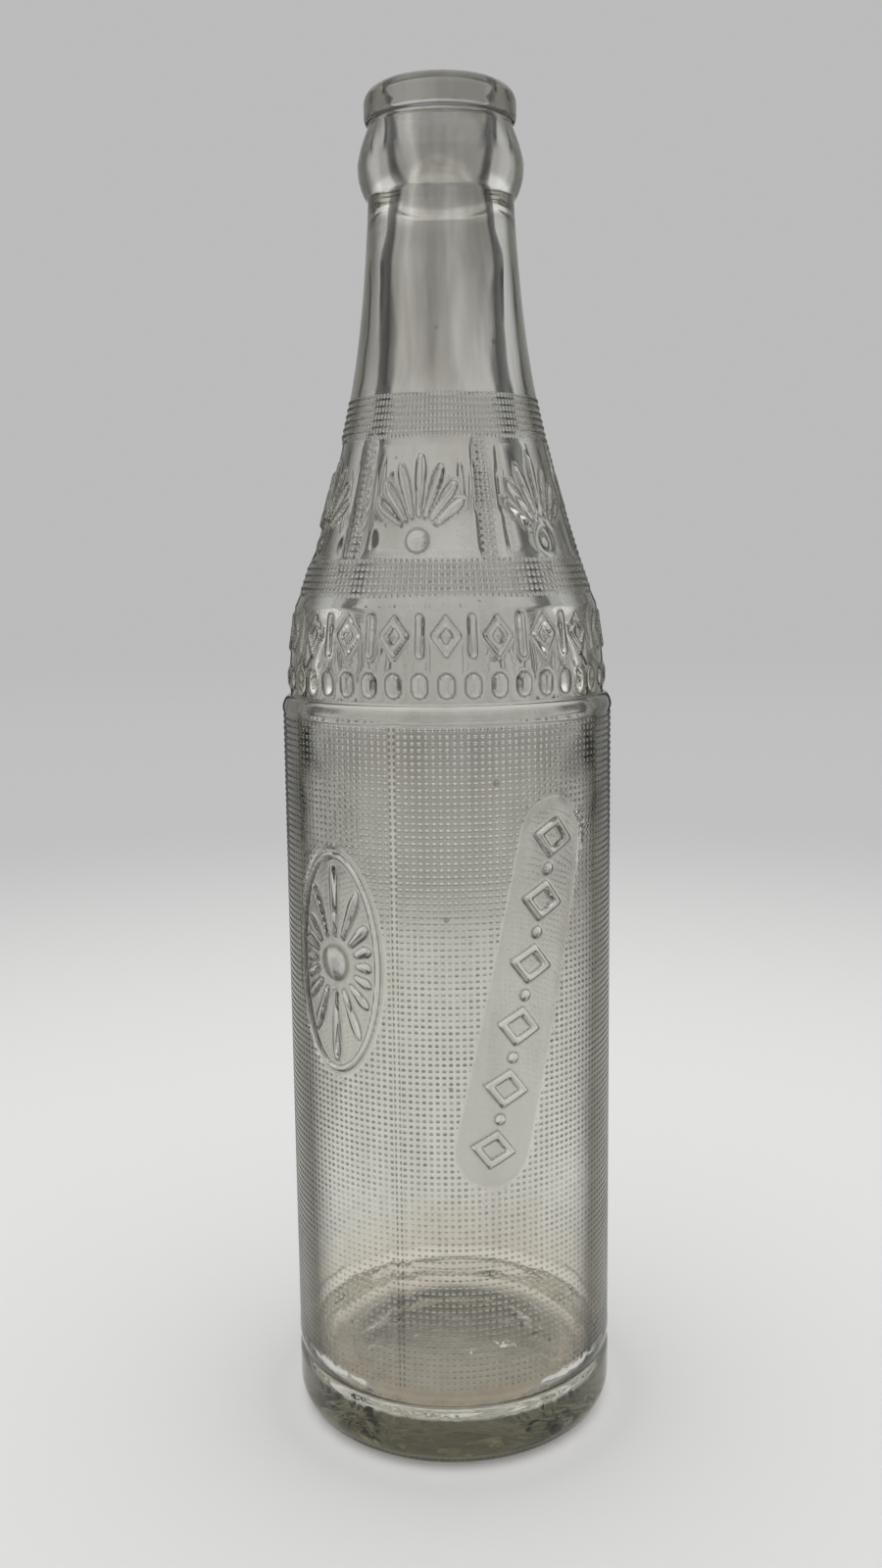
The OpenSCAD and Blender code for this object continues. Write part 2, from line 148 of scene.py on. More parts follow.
# %% Inside of the glass, from the floor's middle up to the throat
floor_z = 10.2
foot_r = 28.6
waist_r, waist_foot, waist_head = 26.3, 72, 107
belly_r, belly_z = 28.0, 127
body_head_r, band_head_in_r, shoulder_head_r = 26.4, 20.4, 12.2
neck_bore_r, neck_bore_z = 10.6, 209
throat_r = 9.3
lip_turn = 240.0
inside = [(0.0, floor_z)]
for piece in (bend((0, floor_z), (8, floor_z), (15, 9.3), 6),
              bend((15, 9.3), (28.3, 7.6), (28.5, 14.5), 14),
              line((28.5, 14.5), (foot_r, 28), 2),
              line((foot_r, 28), (foot_r, 42), 2),
              ease((foot_r, 42), (waist_r, waist_foot), 6),
              line((waist_r, waist_foot), (waist_r, waist_head), 3),
              ease((waist_r, waist_head), (belly_r, belly_z), 6),
              bend((belly_r, belly_z), (belly_r, 132), (body_head_r, body_top), 6),
              bend((body_head_r, body_top), (23.7, 147.1), (band_head_in_r, band_top), 7),
              bend((band_head_in_r, band_top), (15.0, 171.7), (shoulder_head_r, shoulder_top), 9),
              bend((shoulder_head_r, shoulder_top), (neck_bore_r, 199), (neck_bore_r, neck_bore_z), 7),
              ease((neck_bore_r, neck_bore_z), (throat_r, neck_top + 2), 8),
              line((throat_r, neck_top + 2), (throat_r, lip_turn), 3)):
    inside += piece
print("inside:", len(inside), "points, floor at %.1f mm, throat %.1f mm wide" % (floor_z, 2 * throat_r))

# %% [markdown]
# The outside copies the mould. Its outline follows the photo, from the crown lip over a notch down to
# the heel with a fine groove above it. Where stipple comes later, it gets one row of points for each row
# of hobs.

# %% Outside of the glass, from the mouth down to the bearing ring
lattice_columns = 160
lattice_foot, lattice_head, lattice_rows = 15.4, 133.65, 105
hob_root_r = 29.9
column_step = 360 / lattice_columns
row_step = (lattice_head - lattice_foot) / lattice_rows
lip_round, lip_edge, lip_crest_r, lip_edge_z, lip_foot = 1.3, 2.7, 10.6, 238.6, 237.0
notch_r, bead_r, band_foot_r = 12.4, 12.8, 28.6
neck_foot_r, shoulder_foot_r, band_head_r = 16.7, 26.7, 27.4
groove_r, groove_z, groove_half = 29.5, 11.7, 1.5
bearing_inner, bearing_outer, push_up = 23.55, 26.15, 2.4
heel_round = 4.5

outside = []
for piece in (arc((lip_crest_r, lip_turn), lip_round, lip_round, 180, 90, 6),
              arc((lip_crest_r, lip_edge_z), lip_edge, lip_edge, 90, 0, 8),
              line((lip_r, lip_edge_z), (lip_r, lip_foot), 2),
              bend((lip_r, lip_foot), (lip_r, collar_top), (notch_r, collar_top), 6),
              bend((notch_r, collar_top), (collar_r, 230.43), (collar_r, 228.3), 8),
              bend((collar_r, 228.3), (collar_r, 225.17), (bead_r, neck_top), 8),
              bend((bead_r, neck_top), (14.1, 200.8), (neck_foot_r, shoulder_top), 10)):
    outside += piece
shoulder_rows = 30
shoulder_curve = bend((neck_foot_r, shoulder_top), (20.43, 171.7),
                      (shoulder_foot_r, band_top), shoulder_rows)
for piece in (shoulder_curve,
              line((shoulder_foot_r, band_top), (band_head_r, 152.83), 2),
              ease((band_head_r, 152.83), (band_foot_r, 141.7), 8),
              line((band_foot_r, 141.7), (band_foot_r, body_top), 3),
              bend((band_foot_r, body_top), (29.75, 136.9), (body_r, 134.9), 8),
              [(body_r, 134.4), (hob_root_r, lattice_head)],
              line((hob_root_r, lattice_head), (hob_root_r, lattice_foot), lattice_rows),
              [(body_r, lattice_foot - 0.5), (body_r, heel_top)],
              ease((body_r, groove_z + groove_half), (groove_r, groove_z), 4),
              ease((groove_r, groove_z), (body_r, groove_z - groove_half), 4),
              line((body_r, groove_z - groove_half), (body_r, heel_round), 4),
              arc((bearing_outer, heel_round), body_r - bearing_outer, heel_round, 0, -90, 12),
              line((bearing_outer, 0), (bearing_inner, 0), 2),
              bend((bearing_inner, 0), (bearing_inner / 2, push_up), (0, push_up), 7)):
    outside += piece
print("outside:", len(outside), "points,", lattice_rows, "rows of stipple, %.2f mm apart" % row_step)

# %% [markdown]
# A spin turns the outline into the closed skin. Its ends lie on the axis, so the spin's copies meet
# there in two poles, which are merged. The number of steps is the number of hobs round the real body,
# so the stipple can grow out of the faces of the spin itself.

# %% Spin the outline
def spin(points, steps):
    """Turns a line of points, given by radius and height, all the way round the axis."""
    shape = bmesh.new()
    chain = [shape.verts.new((0, -r, z)) for r, z in points]
    rim = [shape.edges.new(pair) for pair in zip(chain, chain[1:])]
    bmesh.ops.spin(shape, geom=chain + rim, cent=(0, 0, 0), axis=(0, 0, 1), dvec=(0, 0, 0),
                   angle=2 * math.pi, steps=steps, use_merge=True, use_duplicate=False)
    return shape


weld, sliver = 0.001 * MM, 0.0001 * MM
glass = spin([(r * MM, z * MM) for r, z in inside + outside], lattice_columns)
bmesh.ops.remove_doubles(glass, verts=glass.verts, dist=weld)
bmesh.ops.rotate(glass, verts=glass.verts, cent=(0, 0, 0),
                 matrix=Matrix.Rotation(math.radians(column_step / 2), 3, "Z"))
bmesh.ops.dissolve_degenerate(glass, edges=glass.edges, dist=sliver)
bmesh.ops.recalc_face_normals(glass, faces=glass.faces)
print("spun skin:", len(glass.verts), "vertices,", len(glass.faces), "faces, volume %.1f ml"
      % (glass.calc_volume() * 1e6))

# %% [markdown]
# Everything that is pressed into the skin is placed by two numbers that a mould maker would use: the
# angle round the bottle, counted from the front, and the height above the table.

# %% Angle, height and radius on the skin
def angle_of(point):
    return math.degrees(math.atan2(point.x, -point.y))


def turn_between(a, b):
    """Angle from b to a, the short way round."""
    return (a - b + 180) % 360 - 180


def radius_of(point):
    return math.hypot(point.x, point.y) / MM


def limited(value):
    """A value kept between nothing and one."""
    return max(0.0, min(1.0, value))


outline = sorted((z, r) for r, z in outside)


def outer_radius(z):
    """Radius of the outline's outside at a height."""
    for (z0, r0), (z1, r1) in zip(outline, outline[1:]):
        if z0 <= z <= z1 and z1 > z0:
            return r0 + (r1 - r0) * (z - z0) / (z1 - z0)
    return body_r


def is_outer(face):
    middle = face.calc_center_median()
    return face.normal.x * middle.x + face.normal.y * middle.y > 0


print("outer radius at the band's foot: %.2f mm" % outer_radius(body_top))

# %% [markdown]
# The ornament is a height over the smooth ground, worked out for any point of the skin. Each line or
# leaf is a rounded ridge, as moulded glass never has a sharp edge.

# %% Rounded ridges
ridge_fullness = 0.6
leaf_widest = 0.68
leaf_root_width = 0.33
leaf_root_rise = 0.8
line_swell, bar_swell = 1.15, 1.1


def ridge(distance, half_width):
    """One on the middle line, falling softly to nothing at half the width."""
    if abs(distance) >= half_width or half_width <= 0:
        return 0.0
    return (0.5 + 0.5 * math.cos(math.pi * distance / half_width)) ** ridge_fullness


def leaf(along, across, root, tip, width):
    """A leaf from its root to its tip, widest two thirds of the way."""
    if not root <= along <= tip:
        return 0.0
    share = (along - root) / (tip - root)
    if share < leaf_widest:
        half = width / 2 * (leaf_root_width + (1 - leaf_root_width) * share / leaf_widest)
    else:
        half = width / 2 * math.sqrt(max(0.0, 1 - ((share - leaf_widest) / (1 - leaf_widest)) ** 2))
    return ridge(across, half) * min(1.0, (along - root) / leaf_root_rise)


def lozenge_line(u, v, width, height, thickness):
    """A lozenge drawn as a ridge."""
    steep = math.hypot(width / 2, height / 2)
    off = (abs(u) / (width / 2) + abs(v) / (height / 2) - 1) * (width / 2) * (height / 2) / steep
    return ridge(off + thickness / 2, thickness / 2 * line_swell)


def bar(u, v, width, height):
    """An upright bar with round ends."""
    beyond = max(0.0, abs(v) - (height - width) / 2)
    return ridge(math.hypot(u, beyond), width / 2 * bar_swell)


print("a ridge from its middle to its foot:", [round(ridge(d / 4, 1), 2) for d in range(5)])

# %% [markdown]
# On the shoulder, six smooth panels lie sunk in a stippled frame, with a thin upright rib between two
# panels. Each panel carries a raised fan of seven blades over a boss, worked out as if the cone were
# flat, which does for so small a piece.

# %% Ornament of the shoulder
panel_count, panel_angle, seam = 6, 53, 18.5
panel_step = 360 / panel_count
panel_foot, panel_head = 161.0, 181.6
panel_depth, shoulder_relief = 0.35, 0.3
panel_slope, rib_w, rib_end = 0.6, 0.7, 0.8
fan_rise, fan_reach, fan_swing, boss_r, blade_root = 3, 14.5, 16, 2.4, 3.6
blades_a_side, blade_w, blade_shorter, blade_sector = 3, 2.2, 0.1, 1


def panel_at(angle):
    """Angle from the middle of the nearest shoulder panel."""
    return (angle - seam) % panel_step - panel_step / 2


def fan(u, v):
    """A fan of seven blades over a round boss."""
    away = math.hypot(u, v)
    height = ridge(away, boss_r)
    swing = math.degrees(math.atan2(u, v))
    for k in range(-blades_a_side, blades_a_side + 1):
        off = math.radians(swing - fan_swing * k)
        if abs(off) < blade_sector:
            height = max(height, leaf(away * math.cos(off), away * math.sin(off), blade_root,
                                      fan_reach * (1 - blade_shorter * abs(k)), blade_w))
    return height


def shoulder_form(angle, z):
    off = panel_at(angle)
    reach = outer_radius(z)
    u = math.radians(off) * reach
    edge = math.radians(panel_angle / 2 - abs(off)) * reach
    inset = min(edge, z - panel_foot, panel_head - z)
    ground = -panel_depth * limited(inset / panel_slope)
    rib = ridge(math.radians(panel_step / 2 - abs(off)) * reach, rib_w)
    rib *= limited(min(z - panel_foot, panel_head - z) / rib_end)
    raised = (shoulder_relief + panel_depth) * fan(u, z - panel_foot - fan_rise)
    return max(ground + raised, ground + rib * shoulder_relief)


print("panel's depth %.2f mm, blade's height %.2f mm" % (-shoulder_form(seam + 10, 180), shoulder_relief))

# %% [markdown]
# The band below the shoulder has two rows round the bottle: tall lozenges with bars between them, and
# low beads under them. Both rows repeat by angle, so one lozenge, one bar and one bead are enough.

# %% Ornament of the band
band_form_foot, band_form_top = body_top + 0.4, 153.4
tall_middle, tall_h, low_middle, low_h = 148.4, 7.4, 140.2, 4.4
lozenge_count, bead_count = 20, 40
lozenge_w, lozenge_line_w, bar_w, bead_w = 5.4, 1.3, 1.7, 3.0
band_relief = 0.5


def band_form(angle, z):
    reach = outer_radius(z)
    step = 360 / lozenge_count
    u = math.radians((angle + step / 2) % step - step / 2) * reach
    gap_u = math.radians(angle % step - step / 2) * reach
    bead_step = 360 / bead_count
    bead_u = math.radians((angle + bead_step / 2) % bead_step - bead_step / 2) * reach
    return band_relief * max(lozenge_line(u, z - tall_middle, lozenge_w, tall_h, lozenge_line_w),
                             bar(gap_u, z - tall_middle, bar_w, tall_h),
                             bar(bead_u, z - low_middle, bead_w, low_h))


print("band: %d lozenges, %d beads, %.1f mm high" % (lozenge_count, bead_count, band_relief))

# %% [markdown]
# Two smooth places, a little sunk, interrupt the body's stipple: an upright oval left of the front and a
# slanted one right of it. A function for each says how far inside its border a point lies.

# %% Smooth places of the body
oval_angle, oval_z, oval_w, oval_h = -42, 91.8, 21.2, 41
slant_angle, slant_z, slant_lean, slant_w, slant_h = 25.5, 87, 12.6, 13.6, 69
place_depth, place_relief = 0.4, 0.7
place_r = body_r - place_depth
place_edge = 0.8
least_slope = 0.01


def ellipse_inset(u, v, half_w, half_h):
    """About how far a point lies inside an ellipse."""
    share = math.hypot(u / half_w, v / half_h)
    slope = math.hypot(u / half_w ** 2, v / half_h ** 2) / max(share, least_slope)
    return (1 - share) / max(slope, least_slope)


def oval_uv(angle, z):
    """Across and along the oval place."""
    return math.radians(turn_between(angle, oval_angle)) * body_r, z - oval_z


def oval_inset(angle, z):
    """How far a point lies inside the oval place's border."""
    return ellipse_inset(*oval_uv(angle, z), oval_w / 2, oval_h / 2)


def slant_uv(angle, z):
    """Across and along the slanted place."""
    u = math.radians(turn_between(angle, slant_angle)) * body_r
    v = z - slant_z
    lean = math.radians(slant_lean)
    return u * math.cos(lean) - v * math.sin(lean), u * math.sin(lean) + v * math.cos(lean)


def slant_inset(angle, z):
    """How far a point lies inside the slanted place's border."""
    u, v = slant_uv(angle, z)
    beyond = max(0.0, abs(v) - (slant_h - slant_w) / 2)
    return slant_w / 2 - math.hypot(u, beyond)


def place_inset(angle, z):
    """How far a point lies inside the nearer smooth place's border, below zero outside."""
    return max(oval_inset(angle, z), slant_inset(angle, z))


print("inset in the middle of the places: %.1f and %.1f mm"
      % (oval_inset(oval_angle + 1, oval_z), slant_inset(slant_angle, slant_z)))

# %% [markdown]
# The oval place carries a rosette of sixteen petals in a ring, the slanted place a column of lozenges
# with beads between them.

# %% Ornament of the smooth places
petal_count, petal_w, petal_root, hub_r = 16, 2.2, 4.6, 3.6
ring_inset, ring_w = 1.35, 0.6
column_count, column_w, column_h, column_line_w, column_bead_r = 6, 8.6, 7.2, 1.3, 1.2


def rosette(angle, z):
    u, v = oval_uv(angle, z)
    half_w, half_h = oval_w / 2 - ring_inset, oval_h / 2 - ring_inset
    height = ridge(ellipse_inset(u, v, half_w, half_h), ring_w)
    away = math.hypot(u, v)
    swing = math.degrees(math.atan2(u, v))
    height = max(height, ridge(away, hub_r))
    petal = 360 / petal_count
    nearest = round(swing / petal) * petal
    a = math.radians(nearest)
    tip = 1 / math.hypot(math.sin(a) / (half_w - ring_inset), math.cos(a) / (half_h - ring_inset))
    off = math.radians(swing - nearest)
    return max(height, leaf(away * math.cos(off), away * math.sin(off), petal_root, tip, petal_w))


def slanted_column(angle, z):
    u, v = slant_uv(angle, z)
    pitch = (slant_h - slant_w) / (column_count - 1)
    height = 0.0
    for i in range(column_count):
        middle = (i - (column_count - 1) / 2) * pitch
        height = max(height, lozenge_line(u, v - middle, column_w, column_h, column_line_w))
        if i:
            height = max(height, ridge(math.hypot(u, v - middle + pitch / 2), column_bead_r))
    return height


print("rosette of", petal_count, "petals, column of", column_count, "lozenges")

# %% [markdown]
# The faces that carry ornament are cut finer first, because a ridge needs a few faces across. A
# subdivision of the whole skin would do too, but it would cost ten times the triangles.

# %% Cut the ornament's faces finer
fan_half_angle, fan_margin, boss_margin = 58, 0.7, 1
rosette_margin, column_half, column_end = 0.3, 5.2, 2
ground_foot = lattice_foot - 1


def faces_where(test):
    """The outer faces between heel and neck whose middle passes a test of angle and height."""
    found = []
    for face in glass.faces:
        middle = face.calc_center_median()
        z = middle.z / MM
        if ground_foot < z < shoulder_top and is_outer(face) and test(angle_of(middle), z):
            found.append(face)
    return found


def cut_finer(test, cuts):
    faces = faces_where(test)
    edges = list({edge for face in faces for edge in face.edges})
    bmesh.ops.subdivide_edges(glass, edges=edges, cuts=cuts, use_grid_fill=True)
    print("cut", len(faces), "faces finer, now", len(glass.faces))


def on_fan(angle, z):
    u = math.radians(panel_at(angle)) * outer_radius(z)
    v = z - panel_foot - fan_rise
    swing = math.degrees(math.atan2(u, v))
    away = math.hypot(u, v)
    return away < boss_r + boss_margin or (abs(swing) < fan_half_angle and away < fan_reach + fan_margin)


def on_panel_fan(angle, z):
    return panel_foot < z < panel_head and on_fan(angle, z)


def on_band(angle, z):
    return band_form_foot < z < band_form_top


def near_rosette(angle, z):
    return oval_inset(angle, z) > -rosette_margin


def near_column(angle, z):
    u, v = slant_uv(angle, z)
    return abs(u) < column_half and abs(v) < slant_h / 2 - column_end


cut_finer(on_panel_fan, 1)
cut_finer(on_band, 2)
cut_finer(near_rosette, 2)
cut_finer(near_column, 2)

# %% [markdown]
# Each corner of those faces is now moved out or in by the ornament's height there, as the mould's
# engraving would. The mould's two halves meet in a seam on either side, a narrow smooth strip that
# stands a little proud and is pressed in the same way.

# %% Press the ornament
seam_angles = (-18.0, 162.0)
seam_h = 0.14
panel_margin, place_margin = 0.5, 1


def at_seam_strip(angle, z):
    off = min(abs(turn_between(angle, s)) for s in seam_angles)
    return off < column_step / 2 and lattice_foot < z < lattice_head


def press(face_test, form, inset=None):
    """Moves the corners of some faces to the outline plus a form, and down into a sunk place."""
    moved = set()
    for face in faces_where(face_test):
        moved.update(face.verts)
    for vert in moved:
        z = vert.co.z / MM
        angle = angle_of(vert.co)
        base = outer_radius(z)
        if inset:
            share = limited(inset(angle, z) / place_edge)
            base += (place_r - base) * share * share * (3 - 2 * share)
        scale = (base + form(angle, z)) / radius_of(vert.co)
        vert.co.x *= scale
        vert.co.y *= scale
    print("pressed", len(moved), "points")


press(lambda a, z: panel_foot - panel_margin < z < panel_head + panel_margin, shoulder_form)
press(on_band, band_form)
for inset_of, form in ((oval_inset, rosette), (slant_inset, slanted_column)):
    press(lambda a, z: inset_of(a, z) > -place_margin, lambda a, z: place_relief * form(a, z), inset_of)
press(at_seam_strip, lambda a, z: seam_h if outer_radius(z) < body_r else 0.0)

# %% [markdown]
# The stipple is a lattice of little hobs, cut into the mould with a knurling wheel. Each hob is a face
# of the spin that is poked: its middle is raised and joined to its corners. Near a smooth place the
# hobs are lower, in three groups, so that the lattice ends without a step.

# %% Raise the hobs
hob_h = 0.2
frame_hob_h = 0.16
hob_groups = 3
border_gap, border_w = 0.15, 0.9
panel_gap, rib_gap, foot_gap, head_gap = 0.3, 1.3, 0.6, 0.4


def border_share(angle, z):
    """How far the stipple has risen to its full height, away from the smooth places."""
    return limited((-place_inset(angle, z) - border_gap) / border_w)


def body_hob(angle, z):
    return lattice_foot < z < lattice_head and not at_seam_strip(angle, z)


def frame_hob(angle, z):
    if not band_top + foot_gap < z < shoulder_top - head_gap:
        return False
    if panel_foot - panel_gap < z < panel_head + panel_gap:
        off = abs(panel_at(angle))
        return off > panel_angle / 2 + panel_gap and abs(off - panel_step / 2) > rib_gap
    return True


def poke_hobs(test, height):
    hobs = faces_where(test)
    bmesh.ops.poke(glass, faces=hobs, offset=height * MM, center_mode="MEAN_WEIGHTED")
    print("hobs:", len(hobs), "of %.2f mm" % height)


for group in range(hob_groups):
    low_end, high_end = group / hob_groups, (group + 1) / hob_groups
    poke_hobs(lambda a, z: body_hob(a, z) and low_end < border_share(a, z) <= high_end, hob_h * high_end)
poke_hobs(frame_hob, frame_hob_h)

# %% [markdown]
# Under the heel, the ring that the bottle stands on is knurled, so that hot glass doesn't stick to the
# belt. The same poke does it, with the middles sunk instead of raised.

# %% Knurl the bearing ring
knurl_h = 0.4
knurl_top = 2.2
bearing = []
for face in glass.faces:
    middle = face.calc_center_median()
    if middle.z < knurl_top * MM and radius_of(middle) > bearing_inner:
        bearing.append(face)
bmesh.ops.poke(glass, faces=bearing, offset=-knurl_h * MM, center_mode="MEAN_WEIGHTED")
print("bearing ring:", len(bearing), "dents of %.2f mm" % knurl_h)

# %% [markdown]
# The hobs are finer than the mesh can round, so the material finishes them. It has to know where each
# hob is: a UV map counts the lattice's columns and rows, from heel to body top and again down the
# shoulder. Object coordinates couldn't follow a lattice round a cone.

# %% Count the lattice's columns and rows
shoulder_heights = [shoulder_top] + [z for r, z in shoulder_curve]


def row_of(z):
    """How many rows of hobs lie between the lattice's end and a height."""
    if z < body_top:
        return (z - lattice_foot) / row_step
    for i, (upper, lower) in enumerate(zip(shoulder_heights, shoulder_heights[1:])):
        if lower <= z <= upper:
            return i + (upper - z) / (upper - lower)
    return 0.0


lattice_map = glass.loops.layers.uv.new("lattice")
for face in glass.faces:
    face.smooth = True
    middle = angle_of(face.calc_center_median())
    for loop in face.loops:
        turned = middle + turn_between(angle_of(loop.vert.co), middle) - column_step / 2
        loop[lattice_map].uv = (turned / column_step, row_of(loop.vert.co.z / MM))
print("lattice map: row of the shoulder's foot %.1f" % row_of(band_top))

# %% [markdown]
# The material also asks where it is: on the stipple, on a seam, inside a smooth place, on the inner skin
# or on a raised line. The mesh answers with one number per corner for each question. Such a mark is as
# sharp as the mesh is fine, but a distance to a border may be drawn much sharper, as it changes evenly.

# %% Marks for the material
far_off = -9.0
mm_per_degree, frame_start, frame_fade = 0.35, 0.5, 0.5


def stipple_at(angle, z):
    """One where the skin is stippled, fading to nothing towards the shoulder's panels."""
    if lattice_foot <= z <= lattice_head:
        return 1.0
    if band_top + frame_start < z < shoulder_top:
        beside = (abs(panel_at(angle)) - panel_angle / 2) * mm_per_degree
        return limited(max(beside, panel_foot - z, z - panel_head) / frame_fade)
    return 0.0


def raised_at(angle, z):
    """How high the ornament stands at a point, as a share of its full height."""
    if on_band(angle, z):
        return band_form(angle, z) / band_relief
    if on_panel_fan(angle, z):
        return fan(math.radians(panel_at(angle)) * outer_radius(z), z - panel_foot - fan_rise)
    if oval_inset(angle, z) > 0:
        return rosette(angle, z)
    if slant_inset(angle, z) > 0:
        return slanted_column(angle, z)
    return 0.0


mark_names = ("stipple", "seam_mark", "inset", "inner", "raised")
mark_layers = [glass.loops.layers.float.new(name) for name in mark_names]
for face in glass.faces:
    centre = face.calc_center_median()
    outer = is_outer(face)
    seamed = outer and at_seam_strip(angle_of(centre), centre.z / MM)
    for loop in face.loops:
        angle, z = angle_of(loop.vert.co), loop.vert.co.z / MM
        values = (stipple_at(angle, z) if outer and not seamed else 0.0,
                  1.0 if seamed else 0.0,
                  max(far_off, place_inset(angle, z)) if outer and z < body_top else far_off,
                  0.0 if outer else 1.0,
                  raised_at(angle, z) if outer else 0.0)
        for layer, value in zip(mark_layers, values):
            loop[layer] = value
print("marked", len(glass.faces), "faces with", mark_names)

# %% [markdown]
# The skin becomes one object at the origin. Its flat underside has rings of many corners near the pole,
# so faces with more than four corners are cut into triangles first.

# %% Finish the skin as one object
def as_object(shape, name):
    """An object of the scene, made of a finished shape."""
    mesh = bpy.data.meshes.new(name)
    shape.to_mesh(mesh)
    shape.free()
    made = bpy.data.objects.new(name, mesh)
    scene.collection.objects.link(made)
    return made


bmesh.ops.triangulate(glass, faces=[f for f in glass.faces if len(f.verts) > 4])
bottle = as_object(glass, "bottle_glass")
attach(bottle, "root")
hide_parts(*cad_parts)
print("bottle_glass:", sum(len(p.vertices) - 2 for p in bottle.data.polygons), "triangles")

# %% [markdown]
# The glass is a Principled shader with full transmission. Soda-lime glass bends light by 1.52, and a
# long path through it turns light olive, which a volume absorption does better than a dark surface:
# only the thick lip, base and edges take the colour.

# %% The glass itself
def dress(thing, name):
    """Gives an object a new material and returns its nodes, its links and its shader."""
    made = bpy.data.materials.new(name)
    made.use_nodes = True
    thing.data.materials.append(made)
    return made.node_tree.nodes, made.node_tree.links, made.node_tree.nodes["Principled BSDF"]


def put(node, values):
    """Writes values into the sockets of a node and returns it."""
    for socket, value in values.items():
        node.inputs[socket].default_value = value
    return node


glass_ior = 1.52
light_olive, olive_density = (0.36, 0.35, 0.20, 1), 13
nodes, links, shader = dress(bottle, "clear_moulded_glass")
put(shader, {"IOR": glass_ior, "Transmission Weight": 1})
depth_colour = nodes.new("ShaderNodeVolumeAbsorption")
put(depth_colour, {"Color": light_olive, "Density": olive_density})
links.new(depth_colour.outputs[0], nodes["Material Output"].inputs["Volume"])
print(bottle.data.materials[0].name, "bends light by", glass_ior)

# %% [markdown]
# The finish needs many small steps of arithmetic. A few helpers place and join such nodes, so that each
# step reads as one line.

# %% Helpers that join nodes
def math_node(operation, a, b=None, c=None, clamp=False):
    """One step of arithmetic between sockets or numbers."""
    node = nodes.new("ShaderNodeMath")
    node.operation = operation
    node.use_clamp = clamp
    for socket, value in zip(node.inputs, (a, b, c)):
        if hasattr(value, "links"):
            links.new(value, socket)
        elif value is not None:
            socket.default_value = value
    return node.outputs[0]


def both(a, b):
    """One where both are one."""
    return math_node("MULTIPLY", a, b)


def length(a, b):
    """The long side over two short ones."""
    return math_node("SQRT", math_node("ADD", math_node("POWER", a, 2), math_node("POWER", b, 2)))


def between(value, span):
    """Nothing at the start of a span, one at its end, softly in between."""
    node = put(nodes.new("ShaderNodeMapRange"), {"From Min": span[0], "From Max": span[1]})
    node.interpolation_type = "SMOOTHSTEP"
    links.new(value, node.inputs["Value"])
    return node.outputs[0]


def rising(value, span, least):
    """A least share at the start of a span, one at its end."""
    return math_node("MULTIPLY_ADD", between(value, span), 1 - least, least)


def window(value, opening, closing):
    """One in a window of a value, with a soft step on either side."""
    return both(between(value, opening), between(value, closing))


def tint_between(factor, a, b):
    """A tint that goes from one colour or socket to another."""
    node = nodes.new("ShaderNodeMix")
    node.data_type = "RGBA"
    links.new(factor, node.inputs["Factor"])
    for socket, value in ((node.inputs["A"], a), (node.inputs["B"], b)):
        if hasattr(value, "links"):
            links.new(value, socket)
        else:
            socket.default_value = (*value, 1)
    return node.outputs["Result"]


def mark(name):
    """A number that the mesh carries at its corners."""
    node = nodes.new("ShaderNodeAttribute")
    node.attribute_name = name
    return node.outputs["Fac"]


def noise(vector, scale, detail=2):
    """Soft clouds from nothing to one."""
    node = put(nodes.new("ShaderNodeTexNoise"), {"Scale": scale, "Detail": detail})
    links.new(vector, node.inputs["Vector"])
    return node.outputs[0]


def show_mix(factor, a, b, output):
    """Goes from one shader to another and shows the mix."""
    node = nodes.new("ShaderNodeMixShader")
    for socket, value in zip(node.inputs, (factor, a, b)):
        links.new(value, socket)
    links.new(node.outputs[0], nodes[output].inputs["Surface"])


coordinates = nodes.new("ShaderNodeTexCoord")
on_skin = coordinates.outputs["Object"]
split_place = nodes.new("ShaderNodeSeparateXYZ")
links.new(on_skin, split_place.inputs[0])
height = split_place.outputs[2]
side = nodes.new("ShaderNodeNewGeometry")
front = math_node("SUBTRACT", 1.0, side.outputs["Backfacing"])
inner = mark("inner")
outer_skin = math_node("SUBTRACT", 1.0, inner)
front_inner = both(front, inner)
front_outer = math_node("SUBTRACT", front, front_inner)
inset = mark("inset")
patch_scale = 28
patches = noise(on_skin, patch_scale)
print("nodes so far:", len(nodes), "with patches about %.0f mm wide" % (1 / MM / patch_scale))

# %% [markdown]
# In the lattice map each hob fills one cell, so the part after the point says where in its cell a point
# lies. A round spot is drawn there. Seen through the bottle, the far side's spots would make a moire
# with the near ones, which real glass blurs away, so only a fifth of them is kept.

# %% The spots of the lattice
stretch = 0.8
spot_reach, dome_reach, shoulder_spot = 0.29, 0.27, 0.1
spot_power, dome_power = 4, 2
far_share = 0.2
shoulder_from = 145 * MM
stipple_ends = (-0.15, -0.5)
lattice = nodes.new("ShaderNodeUVMap")
lattice.uv_map = "lattice"
cell_place = nodes.new("ShaderNodeSeparateXYZ")
links.new(lattice.outputs[0], cell_place.inputs[0])
column, row = cell_place.outputs[0], cell_place.outputs[1]
off_column, off_row = [math_node("ABSOLUTE", math_node("SUBTRACT", math_node("FRACT", counted), 0.5))
                       for counted in (column, row)]
away = length(both(off_column, stretch), off_row)
on_shoulder = math_node("GREATER_THAN", height, shoulder_from)


def spot(reach, power):
    """One at a hob's middle, nothing beyond its reach, in shares of the lattice's pitch."""
    reached = math_node("MULTIPLY_ADD", on_shoulder, shoulder_spot, reach)
    share = math_node("POWER", math_node("DIVIDE", away, reached), power)
    return math_node("SUBTRACT", 1.0, share, clamp=True)


near_side = math_node("MULTIPLY_ADD", side.outputs["Backfacing"], far_share - 1, 1.0)
off_place = between(inset, stipple_ends)
stippled = both(both(mark("stipple"), near_side), off_place)
print("spot reach: %.2f of a cell on the body, %.2f more on the shoulder" % (spot_reach, shoulder_spot))

